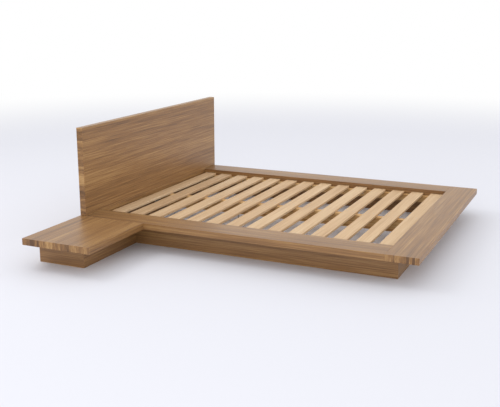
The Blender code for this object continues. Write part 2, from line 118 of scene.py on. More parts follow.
def add_node(tree: NodeTree, kind: str, inputs: dict | None = None, **settings: object) -> Node:
    """Adds a node with its settings and links.

    Args:
        tree: The material's node tree.
        kind: The node's type name, without its "ShaderNode".
        inputs: What its inputs hold.
        settings: The node's own properties.

    Returns:
        The node.
    """
    made = tree.nodes.new(f"ShaderNode{kind}")
    for name, value in settings.items():
        setattr(made, name, value)
    plug(made, inputs or {})
    return made


def new_material(name: str) -> tuple[Material, Callable[..., Node], Node]:
    """Makes a material with an unlinked Principled shader.

    Args:
        name: The finish's plain name.

    Returns:
        The material, what adds a node to it, and its shader.
    """
    made = bpy.data.materials.new(name)
    made.use_nodes = True
    tree = made.node_tree
    return made, partial(add_node, tree), tree.nodes["Principled BSDF"]


@dataclass(frozen=True)
class Timber:
    """Solid timber, edge-glued from staves or sawn in one piece, and its surface.

    Boards carry where each point lies along, across and through them in the attribute "grain",
    and mark their sawn ends and rounded arrises in "end_grain" and "arris".
    """

    name: str
    slot: str
    dark: str
    middle: str
    light: str
    stave_mm: float
    stave_contrast: float
    figure_mm: float
    figure_length_mm: float
    figure_contrast: float
    fleck_contrast: float
    roughness: float
    relief_mm: float
    end_contrast: float = 0.3
    end_darkening: float = 0.90
    end_roughness: float = 0.18
    # how much the rounded arrises' colour is lightened: a painted highlight
    arris_painted_highlight: float = 1.10
    # open pores, whose real width of 0.3 mm is drawn coarser so that they show
    pore_mm: float = 1.1
    pore_length_mm: float = 22.0
    stagger: tuple[float, float, float] = (3.1, 0.7, 0.4)

    @cache
    def material(self) -> Material:
        """Makes the material, once.

        Returns:
            The material.
        """
        made, add, shader = new_material(self.name)
        grain = add("Attribute", attribute_name="grain").outputs["Vector"]
        ends = add("Attribute", attribute_name="end_grain").outputs["Fac"]
        arris = add("Attribute", attribute_name="arris").outputs["Fac"]

        # each stave comes from another stretch of timber, so its streaks stop at the glue line
        stave = self.stave_tone(add, grain)
        staggered = add(
            "VectorMath", {0: stave, 1: self.stagger, 2: grain}, operation="MULTIPLY_ADD"
        ).outputs["Vector"]
        # slow clouds of tone, the figure itself, the fine lines within it, and the pores
        width, length = self.figure_mm, self.figure_length_mm
        slow = self.streaks(add, grain, ends, width * 6, length * 3, 2.0)
        figure = self.streaks(add, staggered, ends, width, length, 2.5)
        fine = self.streaks(add, staggered, ends, width / 3, length / 2, 2.0)
        pores = self.streaks(add, staggered, ends, self.pore_mm, self.pore_length_mm, 1.0)
        fleck = add("MapRange", {"Value": pores, "From Min": 0.6, "From Max": 0.74}).outputs[0]

        layers = (
            (stave, self.stave_contrast),
            (slow, self.figure_contrast * 0.35),
            (figure, self.figure_contrast),
            (fine, self.figure_contrast * 0.7),
        )
        tone: NodeSocket | float = 0.5 - sum(weight for _, weight in layers) / 2
        for part, weight in layers:
            tone = add("Math", {0: part, 1: weight, 2: tone}, operation="MULTIPLY_ADD").outputs[0]
        # a sawn end shows each stave's own tone far more than its face does
        end_tone = add(
            "Math",
            {0: stave, 1: self.end_contrast, 2: -0.03 - self.end_contrast / 2},
            operation="MULTIPLY_ADD",
        ).outputs[0]
        tone = add("Math", {0: end_tone, 1: ends, 2: tone}, operation="MULTIPLY_ADD").outputs[0]
        ramp = add("ValToRGB", {"Fac": tone})
        stops = ramp.color_ramp.elements
        stops[0].position, stops[0].color = 0.18, linear(self.dark)
        stops[1].position, stops[1].color = 0.84, linear(self.light)
        stops.new(0.50).color = linear(self.middle)

        shade = ramp.outputs["Color"]
        # darker pores and sawn ends, and a painted highlight that lightens the rounded arrises
        for amount, factor in (
            (fleck, 1.0 - self.fleck_contrast),
            (ends, self.end_darkening),
            (arris, self.arris_painted_highlight),
        ):
            shade = add(
                "Mix",
                {"Factor": amount, "A": shade, "B": (factor, factor, factor, 1.0)},
                data_type="RGBA",
                blend_type="MULTIPLY",
            ).outputs["Result"]
        low, high = self.roughness - 0.05, self.roughness + 0.07
        rough = add(
            "MapRange",
            {"Value": fine, "From Min": 0.3, "From Max": 0.7, "To Min": low, "To Max": high},
        ).outputs["Result"]
        rough = add(
            "Math", {0: ends, 1: self.end_roughness, 2: rough}, operation="MULTIPLY_ADD"
        ).outputs[0]
        height = add("Math", {0: fleck, 1: -1.2, 2: fine}, operation="MULTIPLY_ADD").outputs[0]
        bump = add("Bump", {"Strength": 0.5, "Distance": self.relief_mm * MM, "Height": height})
        plug(shader, {"Base Color": shade, "Roughness": rough, "Normal": bump.outputs["Normal"]})
        return made

    def stave_tone(self, add: Callable[..., Node], grain: NodeSocket) -> NodeSocket:
        """Gives each glued stave its own tone, and each wider plank of the panel another.

        Args:
            add: What adds a node to the material.
            grain: Where a point lies in its board.

        Returns:
            An output from 0 to 1.
        """
        across = add("SeparateXYZ", {0: grain}).outputs["Y"]
        tones = []
        for width, shift in ((self.stave_mm, 0.0), (self.stave_mm * 3.7, 0.37)):
            number = add(
                "Math", {0: across, 1: 1 / (width * MM), 2: shift}, operation="MULTIPLY_ADD"
            ).outputs[0]
            whole = add("Math", {0: number}, operation="FLOOR").outputs[0]
            noise = add("TexWhiteNoise", {"W": whole}, noise_dimensions="1D")
            tones.append(noise.outputs["Value"])
        both = add("Math", {0: tones[0], 1: tones[1]}).outputs[0]
        return add("Math", {0: both, 1: 0.5}, operation="MULTIPLY").outputs[0]

    def streaks(
        self,
        add: Callable[..., Node],
        grain: NodeSocket,
        ends: NodeSocket,
        width_mm: float,
        length_mm: float,
        detail: float,
    ) -> NodeSocket:
        """Draws streaks that run with the grain, and through the thickness on a sawn end.

        Args:
            add: What adds a node to the material.
            grain: Where a point lies in its board.
            ends: Where the surface is a sawn end.
            width_mm: A streak's width.
            length_mm: A streak's length.
            detail: The noise's detail.

        Returns:
            An output from 0 to 1.
        """
        along, across = 1 / (length_mm * MM), 1 / (width_mm * MM)
        scale = add(
            "Mix",
            {"Factor": ends, "A": (along, across, across), "B": (along, across, across / 9)},
            data_type="VECTOR",
        ).outputs["Result"]
        place = add("VectorMath", {0: grain, 1: scale}, operation="MULTIPLY").outputs["Vector"]
        return add(
            "TexNoise",
            {"Vector": place, "Scale": 1.0, "Detail": detail, "Roughness": 0.6, "Distortion": 0.25},
        ).outputs["Fac"]


@dataclass(frozen=True)
class Skin:
    """Plated, coated or moulded stuff: slow clouds of tone and gloss over a fine relief."""

    name: str
    slot: str
    colour: str
    tint: str
    roughness: tuple[float, float]
    cloud_mm: float
    relief_width_mm: float
    relief_mm: float
    metallic: float = 0.0
    cloud_detail: float = 5.0
    cloud_range: tuple[float, float] = (0.0, 1.0)
    relief_detail: float = 2.0
    relief_strength: float = 0.4

    @cache
    def material(self) -> Material:
        """Makes the material, once.

        Returns:
            The material.
        """
        made, add, shader = new_material(self.name)
        place = add("TexCoord").outputs["Object"]
        cloud, relief = (
            add(
                "TexNoise", {"Vector": place, "Scale": 1 / (width * MM), "Detail": detail}
            ).outputs["Fac"]
            for width, detail in (
                (self.cloud_mm, self.cloud_detail),
                (self.relief_width_mm, self.relief_detail),
            )
        )
        colour = add(
            "Mix",
            {"Factor": cloud, "A": linear(self.colour), "B": linear(self.tint)},
            data_type="RGBA",
        )
        (start, end), (low, high) = self.cloud_range, self.roughness
        rough = add(
            "MapRange",
            {"Value": cloud, "From Min": start, "From Max": end, "To Min": low, "To Max": high},
        )
        distance = self.relief_mm * MM
        bump = add(
            "Bump", {"Strength": self.relief_strength, "Distance": distance, "Height": relief}
        )
        surface = {"Base Color": colour.outputs["Result"], "Metallic": self.metallic}
        surface |= {"Roughness": rough.outputs["Result"], "Normal": bump.outputs["Normal"]}
        plug(shader, surface)
        return made


# Edge-glued teak staves, planed and oiled: caramel brown, straight streaks, a satin sheen. The
# streaks are drawn about twice as wide as real ones, so that they show on the whole bed.
OILED_TEAK = Timber(
    "oiled_teak", "board", dark="#5F4229", middle="#8F683E", light="#BE9762",
    stave_mm=17.0, stave_contrast=0.20, figure_mm=7.0, figure_length_mm=420.0,
    figure_contrast=0.80, fleck_contrast=0.30, roughness=0.37, relief_mm=0.12,
    end_contrast=0.5, end_darkening=1.0,
)
# Planed beech, left bare: pale and pinkish, with an even grain and short dark flecks
PLANED_BEECH = Timber(
    "planed_beech", "slat", dark="#B08A62", middle="#CFAE86", light="#E2C8A4",
    stave_mm=95.0, stave_contrast=0.25, figure_mm=11.0, figure_length_mm=420.0,
    figure_contrast=0.65, fleck_contrast=0.22, roughness=0.62, relief_mm=0.15,
    end_darkening=0.80,
)
# Planed pine, left bare: yellow, with strong bands of late wood
PLANED_PINE = Timber(
    "planed_pine", "structure", dark="#A06F3C", middle="#CDA46C", light="#DFC08E",
    stave_mm=130.0, stave_contrast=0.12, figure_mm=9.0, figure_length_mm=900.0,
    figure_contrast=1.0, fleck_contrast=0.10, roughness=0.66, relief_mm=0.2,
    end_darkening=0.78,
)
# Zinc plate on steel: cool silver with a faint yellow cast, satin
ZINC_PLATE = Skin(
    "zinc_plated_steel", "steel", "#C4C6C8", "#B9B5A6", (0.28, 0.42), 9.0, 2.25, 0.03,
    metallic=1.0, cloud_detail=4.0, cloud_range=(0.3, 0.7), relief_detail=3.0,
    relief_strength=0.3,
)
# Black powder coat on steel: soft gloss with a fine orange peel
POWDER_COAT = Skin(
    "black_powder_coat", "black_steel", "#17181A", "#232426", (0.40, 0.56), 35.0, 1.4, 0.05
)
# Moulded black nylon: matt, with a fine spark-eroded texture that is drawn coarser so it shows
MOULDED_NYLON = Skin(
    "moulded_nylon", "nylon", "#151515", "#1F1F1F", (0.47, 0.63), 20.0, 0.8, 0.04
)


# ---- Tools of the bench ----


def pick(*pieces: Object) -> None:
    """Selects only these pieces, and makes the first one active.

    Args:
        pieces: The pieces, or none to deselect everything.
    """
    bpy.ops.object.select_all(action="DESELECT")
    for piece in pieces:
        piece.select_set(True)
    bpy.context.view_layer.objects.active = pieces[0] if pieces else None


@contextmanager
def editing(piece: Object, edges: Callable[[MeshEdge], bool] | None = None) -> Iterator[None]:
    """Opens a piece in edit mode, with all of it or only some of its edges selected.

    Args:
        piece: The piece.
        edges: Says for an edge whether it is selected.
    """
    pick(piece)
    bpy.ops.object.mode_set(mode="EDIT")
    bpy.ops.mesh.select_all(action="SELECT")
    if edges:
        bpy.ops.mesh.select_mode(type="EDGE")
        bpy.ops.mesh.select_all(action="DESELECT")
        bpy.ops.object.mode_set(mode="OBJECT")
        for edge in piece.data.edges:
            edge.select = edges(edge)
        bpy.ops.object.mode_set(mode="EDIT")
    yield
    bpy.ops.mesh.select_mode(type="VERT")
    bpy.ops.object.mode_set(mode="OBJECT")


def settle(name: str) -> Object:
    """Names the new primitive and puts its place into its mesh.

    Args:
        name: The piece's name.

    Returns:
        The piece, its object at the origin.
    """
    piece = bpy.context.object
    piece.name = piece.data.name = name
    pick(piece)
    bpy.ops.object.transform_apply(location=True, rotation=True, scale=True)
    return piece


def cuboid(name: str, corner: Vector, opposite: Vector) -> Object:
    """Adds a rectangular blank between two opposite corners.

    Args:
        name: The piece's name.
        corner: One corner.
        opposite: The other one.

    Returns:
        The blank.
    """
    pick()
    bpy.ops.mesh.primitive_cube_add(size=1.0, location=(corner + opposite) / 2)
    bpy.context.object.scale = [abs(length) for length in opposite - corner]
    return settle(name)


def drum(
    name: str, radius: float, low: float, high: float, sides: int = 32, top: float | None = None
) -> Object:
    """Adds a round or many-sided blank that stands on the Z axis.

    Args:
        name: The piece's name.
        radius: The radius of its corners at the bottom.
        low: The bottom's height.
        high: The top's height.
        sides: How many sides it has.
        top: The radius at the top, if it tapers.

    Returns:
        The blank.
    """
    pick()
    bpy.ops.mesh.primitive_cone_add(
        vertices=sides,
        radius1=radius,
        radius2=radius if top is None else top,
        depth=high - low,
        location=(0, 0, (low + high) / 2),
    )
    return settle(name)


def outline(name: str, profile: Sequence[tuple[float, float]]) -> Object:
    """Draws a closed profile in the XZ plane.

    Args:
        name: The piece's name.
        profile: The profile's corners as radius and height.

    Returns:
        A wire loop.
    """
    pick()
    bpy.ops.mesh.primitive_circle_add(vertices=len(profile), radius=1.0)
    piece = settle(name)
    for point, (radius, height) in zip(piece.data.vertices, profile):
        point.co = (radius, 0.0, height)
    return piece


def tidy_mesh(nearness: float) -> None:
    """Merges what almost touches in the open piece, and turns its faces outwards.

    Args:
        nearness: The distance below which points are one.
    """
    bpy.ops.mesh.select_all(action="SELECT")
    bpy.ops.mesh.remove_doubles(threshold=nearness)
    bpy.ops.mesh.dissolve_degenerate(threshold=nearness)
    bpy.ops.mesh.delete_loose(use_verts=True, use_edges=True, use_faces=False)
    bpy.ops.mesh.select_all(action="SELECT")
    bpy.ops.mesh.normals_make_consistent(inside=False)


def lathe(name: str, profile: Sequence[tuple[float, float]], sides: int = 32) -> Object:
    """Spins a closed profile round the Z axis.

    Args:
        name: The piece's name.
        profile: The profile's corners as radius and height.
        sides: How many steps the turn has.

    Returns:
        The turned piece.
    """
    piece = outline(name, profile)
    with editing(piece):
        bpy.ops.mesh.spin(steps=sides, angle=math.tau, center=(0, 0, 0), axis=(0, 0, 1))
        tidy_mesh(1e-6)
    return piece


def threaded_rod(name: str, radius: float, pitch: float, low: float, high: float) -> Object:
    """Models a right-hand thread round the Z axis, cut square at both ends.

    Args:
        name: The piece's name.
        radius: The radius at the thread's crest.
        pitch: How far the thread climbs in a turn.
        low: The lower end.
        high: The upper end.

    Returns:
        The rod.
    """
    root = radius - 0.6 * pitch
    climbs = ((root, 0.0), (root, 0.15), (radius, 0.48), (radius, 0.62), (root, 1.0))
    rod = outline(name, [(reach, low + (climb - 1.5) * pitch) for reach, climb in climbs])
    with editing(rod, lambda edge: {0, 4} == set(edge.vertices)):
        bpy.ops.mesh.delete(type="EDGE")
    turns = math.ceil((high - low) / pitch) + 3
    apply_modifier(
        rod, "SCREW", axis="Z", angle=math.tau, screw_offset=pitch, iterations=turns,
        steps=20, render_steps=20, use_merge_vertices=True, merge_threshold=1e-6,
    )
    slice_off(rod, Vector((0, 0, low)), DOWN)
    slice_off(rod, Vector((0, 0, high)), UP)
    with editing(rod):
        bpy.ops.mesh.remove_doubles(threshold=1e-6)
        bpy.ops.mesh.normals_make_consistent(inside=False)
    return rod


def apply_modifier(piece: Object, kind: str, **settings: object) -> None:
    """Adds a modifier to a piece and applies it.

    Args:
        piece: The piece.
        kind: The modifier's type.
        settings: The modifier's own properties.
    """
    pick(piece)
    modifier = piece.modifiers.new(kind.lower(), kind)
    for name, value in settings.items():
        setattr(modifier, name, value)
    bpy.ops.object.modifier_apply(modifier=modifier.name)


def round_over(piece: Object, radius: float, segments: int = 3, angle: float = 40.0) -> None:
    """Rounds the sharp edges of a piece.

    Args:
        piece: The piece.
        radius: The round's radius.
        segments: How many facets the round has.
        angle: The angle between two faces, in degrees, from which their edge is sharp.
    """
    limit = math.radians(angle)
    apply_modifier(
        piece, "BEVEL", width=radius, segments=segments, limit_method="ANGLE", angle_limit=limit
    )


def round_corners(
    piece: Object,
    through: Axis,
    radius: float,
    wanted: Callable[[Vector], bool] = lambda point: True,
) -> None:
    """Rounds those edges of a sheet or board that run through its thickness.

    Args:
        piece: The piece.
        through: The way the edges run.
        radius: The corners' radius.
        wanted: Says for an edge's middle whether it is rounded.
    """

    def runs_through(edge: MeshEdge) -> bool:
        """Says whether an edge is one of them.

        Args:
            edge: The edge.

        Returns:
            Whether it runs through the thickness where it is wanted.
        """
        start, end = (piece.data.vertices[number].co for number in edge.vertices)
        run = (end - start).normalized()
        return abs(run[through.value]) > 0.99 and wanted((start + end) / 2)

    with editing(piece, runs_through):
        bpy.ops.mesh.bevel(offset=radius, segments=5, affect="EDGES")


def discard(piece: Object) -> None:
    """Removes a tool or a pattern piece that isn't part of the bed."""
    bpy.data.meshes.remove(piece.data)


def combine(piece: Object, tool: Object, operation: str = "DIFFERENCE") -> None:
    """Cuts a tool out of a piece, or joins or crosses them, and clears the tool away."""
    apply_modifier(piece, "BOOLEAN", operation=operation, solver="EXACT", object=tool)
    discard(tool)


def slice_off(piece: Object, point: Vector, outward: Vector) -> None:
    """Saws a piece along the plane through a point, and drops what lies outward of it."""
    with editing(piece):
        bpy.ops.mesh.bisect(plane_co=point, plane_no=outward, use_fill=True, clear_outer=True)


def copy_at(piece: Object, name: str, place: Matrix) -> Object:
    """Copies a piece, with its own mesh, to another place.

    Args:
        piece: The piece to copy.
        name: The copy's name.
        place: What moves the copy's mesh.

    Returns:
        The copy.
    """
    made = bpy.data.objects.new(name, piece.data.copy())
    made.data.name = name
    made.data.transform(place)
    bpy.context.scene.collection.objects.link(made)
    return made


def set_of(name: str, pattern: Object, places: Iterable[Matrix]) -> Object:
    """Joins copies of a small piece into one object.

    Args:
        name: The set's name.
        pattern: The small piece.
        places: What moves each copy's mesh.

    Returns:
        The set.
    """
    copies = [copy_at(pattern, f"{name}_{number}", place) for number, place in enumerate(places)]
    pick(*copies)
    bpy.ops.object.join()
    made = bpy.context.object
    made.name = made.data.name = name
    return made


def hand_over(
    piece: Object, finish: Timber | Skin, node: str | None = None, body: str = BED
) -> None:
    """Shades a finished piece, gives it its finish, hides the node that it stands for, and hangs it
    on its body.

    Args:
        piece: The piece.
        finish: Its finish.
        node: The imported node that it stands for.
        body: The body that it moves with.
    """
    with editing(piece):
        tidy_mesh(1e-5)
    bpy.ops.object.shade_smooth_by_angle(angle=math.radians(38.0))
    apply_modifier(piece, "WEIGHTED_NORMAL", keep_sharp=True, weight=50)
    piece.data.materials.clear()
    piece.data.materials.append(finish.material())
    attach(piece, body)
    if node:
        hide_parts(node)
    LOG.info("%s: %d faces", piece.name, len(piece.data.polygons))


# ---- Boards ----


@dataclass
class Board:
    """A sawn and planed board that stands for one node.

    Its grain runs one way and its width another. Its arris is the radius of its edges.
    """

    node: str
    grain: Axis
    across: Axis
    arris: float = 0.001
    reach: Sequence[Vector] = ()
    low: Vector = field(init=False)
    high: Vector = field(init=False)
    piece: Object = field(init=False)

    def __post_init__(self) -> None:
        """Saws the blank to the node's box, and long enough for the points it has to reach."""
        points = (*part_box(self.node), *self.reach)
        self.low, self.high = (Vector(map(end, *points)) for end in (min, max))
        self.piece = cuboid(f"{self.node}_board", self.low, self.high)

    def mitre(self, point: Vector, outward: Vector) -> "Board":
        """Saws an end off along a plane and returns the board."""
        slice_off(self.piece, point, outward)
        return self

    def ease(self) -> "Board":
        """Rounds the board's edges and returns the board."""
        round_over(self.piece, self.arris)
        return self

    def let_in(self, node: str, open_towards: Vector, clearance: float = 0.0006) -> "Board":
        """Cuts the recess that a plate lies in.

        Args:
            node: The plate's node.
            open_towards: The side on which the recess is open.
            clearance: The room round the plate.

        Returns:
            The board.
        """
        low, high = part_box(node)
        room = Vector((clearance,) * 3)
        out = open_towards * 0.01
        below = Vector(min(length, 0.0) for length in out)
        tool = cuboid("recess_tool", low - room + below, high + room + out - below)
        return self.bore(tool)

    def bore(self, tool: Object) -> "Board":
        """Cuts a hole with a tool and returns the board."""
        combine(self.piece, tool)
        return self

    def finish(self, finish: Timber = OILED_TEAK) -> None:
        """Marks the board's grain, and hands it over."""
        mark_grain(self.piece.data, self.grain, self.across, self.node)
        hand_over(self.piece, finish, self.node)


def mark_grain(mesh: Mesh, grain: Axis, across: Axis, name: str) -> None:
    """Writes where each point lies in its board, and which faces are ends and arrises.

    Args:
        mesh: The board's mesh.
        grain: The way the grain runs.
        across: The way the board's width runs.
        name: The board's name, which seeds its own stretch of timber.
    """
    through = next(axis for axis in Axis if axis not in (grain, across))
    cut_from = random.Random(name)
    start = Vector((cut_from.uniform(0, 40), cut_from.uniform(0, 9), cut_from.uniform(0, 9)))
    order = (grain.value, across.value, through.value)
    places = mesh.attributes.new("grain", "FLOAT_VECTOR", "POINT")
    for number, point in enumerate(mesh.vertices):
        places.data[number].vector = start + Vector(point.co[axis] for axis in order)
    ends = mesh.attributes.new("end_grain", "FLOAT", "FACE")
    arrises = mesh.attributes.new("arris", "FLOAT", "FACE")
    for number, face in enumerate(mesh.polygons):
        ends.data[number].value = float(abs(face.normal[grain.value]) > 0.65)
        arrises.data[number].value = float(0.2 < max(abs(part) for part in face.normal) < 0.97)


# ---- Ironmongery ----


@dataclass
class WoodScrew:
    """A countersunk wood screw with a cross recess: its head and the top of its shank."""

    head: float = 0.0042
    head_depth: float = 0.0030
    shank: float = 0.0021
    length: float = 0.012
    slot: float = 0.0009
    slot_reach: float = 0.0027
    slot_depth: float = 0.0016
    proud: float = 0.0002

    def pattern(self) -> Object:
        """Models one screw that points down from the origin.

        Returns:
            The screw.
        """
        top, tip = self.proud, -self.length
        profile = [(0.0, tip), (self.shank * 0.4, tip), (self.shank, tip * 0.8)]
        profile += [(self.shank, top - self.head_depth), (self.head, top - 0.0004)]
        profile += [(self.head, top), (0.0, top)]
        screw = lathe("screw_pattern", profile, sides=14)
        long, wide = self.slot_reach, self.slot / 2
        for reach in (Vector((long, wide, self.slot_depth)), Vector((wide, long, self.slot_depth))):
            combine(screw, cuboid("slot_tool", -reach, reach))
        return screw

    def countersinks(self, name: str, places: Iterable[Matrix]) -> Object:
        """Models the tool that sinks a board for its screws.

        Args:
            name: The tool's name.
            places: Where the screws stand.

        Returns:
            One tool for all of them.
        """
        bottom = -self.head_depth - 0.0003
        sink = drum("sink_pattern", self.shank, bottom, 0.0006, 16, self.head + 0.0008)
        tool = set_of(name, sink, places)
        discard(sink)
        return tool

    def drive(self, name: str, places: Iterable[Matrix]) -> None:
        """Puts a zinc-plated screw in each place, as one set.

        Args:
            name: The set's name.
            places: Where the screws stand.
        """
        pattern = self.pattern()
        hand_over(set_of(name, pattern, places), ZINC_PLATE)
        discard(pattern)


def facing(place: Vector, outward: Vector, spin: float = 0.0) -> Matrix:
    """Places a piece that stands on +Z to look outward, spun by degrees round its own axis."""
    turned = outward.to_track_quat("Z", "Y").to_matrix().to_4x4()
    return Matrix.Translation(place) @ turned @ Matrix.Rotation(math.radians(spin), 4, "Z")


def between(start: float, end: float, count: int) -> list[float]:
    """Spreads a number of places evenly over a stretch, half a space in from each end."""
    step = (end - start) / count
    return [start + step * (number + 0.5) for number in range(count)]


@dataclass
class Plates:
    """The flat steel plates that tie the headboard to the base and the deck's planks together."""

    tie_screw: WoodScrew = field(
        default_factory=lambda: WoodScrew(
            0.0056, 0.0034, 0.0028, slot=0.0012, slot_reach=0.0034, proud=0.0001
        )
    )
    joint_screw: WoodScrew = field(default_factory=lambda: WoodScrew(proud=0.0001))
    tie_holes: tuple[float, ...] = (0.0700, 0.1220, 0.2246, 0.3146, 0.4046)
    tie_corner: float = 0.006
    joint_corner: float = 0.008
    hole_inset: float = 0.016
    narrow: float = 0.1

    def build(self) -> None:
        """Makes the plates and their screws."""
        for name, nodes, screw in (
            ("tie_screws", TIE_PLATES, self.tie_screw),
            ("joint_screws", JOINT_PLATES, self.joint_screw),
        ):
            spots = []
            for node in nodes:
                spots += self.plate(node, screw)
            screw.drive(name, spots)

    def rows(self, start: float, end: float) -> tuple[float, ...]:
        """Places rows of holes clear of the joint that the plate lies under.

        Args:
            start: The plate's one edge.
            end: Its other edge.

        Returns:
            Where the rows lie.
        """
        inset = self.hole_inset
        if end - start < self.narrow:
            return (start + inset, end - inset)
        return (start + inset, start + inset * 2.6, end - inset * 2.6, end - inset)

    def plate(self, node: str, screw: WoodScrew) -> list[Matrix]:
        """Makes a plate with rounded corners and countersunk holes.

        Args:
            node: The plate's node.
            screw: The screw that it takes.

        Returns:
            Where its screws stand.
        """
        low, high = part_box(node)
        plate = cuboid(f"{node}_strip", low, high)
        if node in TIE_PLATES:
            through, corner, finish = Axis.Y, self.tie_corner, POWDER_COAT
            middle = (low.x + high.x) / 2
            spots = [
                facing(Vector((middle, high.y, level)), BACK, 17 * number)
                for number, level in enumerate(self.tie_holes)
            ]
        else:
            through, corner, finish = Axis.Z, self.joint_corner, ZINC_PLATE
            spots = [
                facing(Vector((x, y, low.z)), DOWN, 23 * x_step + 31 * y_step)
                for x_step, x in enumerate(self.rows(low.x, high.x))
                for y_step, y in enumerate(self.rows(low.y, high.y))
            ]
        round_corners(plate, through, corner)
        round_over(plate, 0.0004, segments=2, angle=60.0)
        combine(plate, screw.countersinks(f"{node}_sinks", spots))
        hand_over(plate, finish, node)
        return spots


@dataclass
class BeamHanger:
    """A folded steel hanger that carries one end of the centre beam."""

    end: str
    sheet: float = 0.003
    flange: float = 0.028
    fold_radius: float = 0.0022
    corner: float = 0.006
    flange_holes: tuple[float, ...] = (0.014, 0.042, 0.070)
    cheek_holes: tuple[float, ...] = (0.028, 0.058)
    screw: WoodScrew = field(default_factory=lambda: WoodScrew(proud=0.0001))

    def build(self) -> None:
        """Makes the hanger and its screws."""
        node = f"{self.end}_beam_hanger"
        low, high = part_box(node)
        inward = 1.0 if self.end == "foot" else -1.0
        wall, lip = (low.y, high.y) if self.end == "foot" else (high.y, low.y)
        face = wall + inward * self.sheet
        cheeks = (low.x + self.flange, high.x - self.flange)
        hanger = cuboid(
            f"{node}_sheet", Vector((low.x, wall, low.z)), Vector((high.x, face, high.z))
        )
        round_corners(hanger, Axis.Y, self.corner)
        cradle = cuboid(
            "cradle_tool", Vector((cheeks[0], wall, low.z)), Vector((cheeks[1], lip, high.z))
        )
        round_corners(cradle, Axis.Y, self.fold_radius, lambda point: point.z < low.z + MM)
        combine(hanger, cradle, "UNION")
        past = 0.01
        hollow = cuboid(
            "hollow_tool",
            Vector((cheeks[0] + self.sheet, face, low.z + self.sheet)),
            Vector((cheeks[1] - self.sheet, lip + inward * past, high.z + past)),
        )
        combine(hanger, hollow)
        round_over(hanger, 0.0005, segments=2, angle=60.0)

        columns = (low.x + self.flange / 2, high.x - self.flange / 2)
        spots = [
            facing(Vector((x, face, low.z + rise)), Vector((0, inward, 0)), 29 * step)
            for step, (x, rise) in enumerate(product(columns, self.flange_holes))
        ]
        for (sign, cheek), rise in product(zip((-1.0, 1.0), cheeks), self.cheek_holes):
            place = Vector((cheek, (face + lip) / 2, low.z + rise))
            spots.append(facing(place, Vector((sign, 0, 0)), 900 * rise))
        combine(hanger, self.screw.countersinks(f"{node}_sinks", spots))
        hand_over(hanger, ZINC_PLATE, node)
        self.screw.drive(f"{node}_screws", spots)


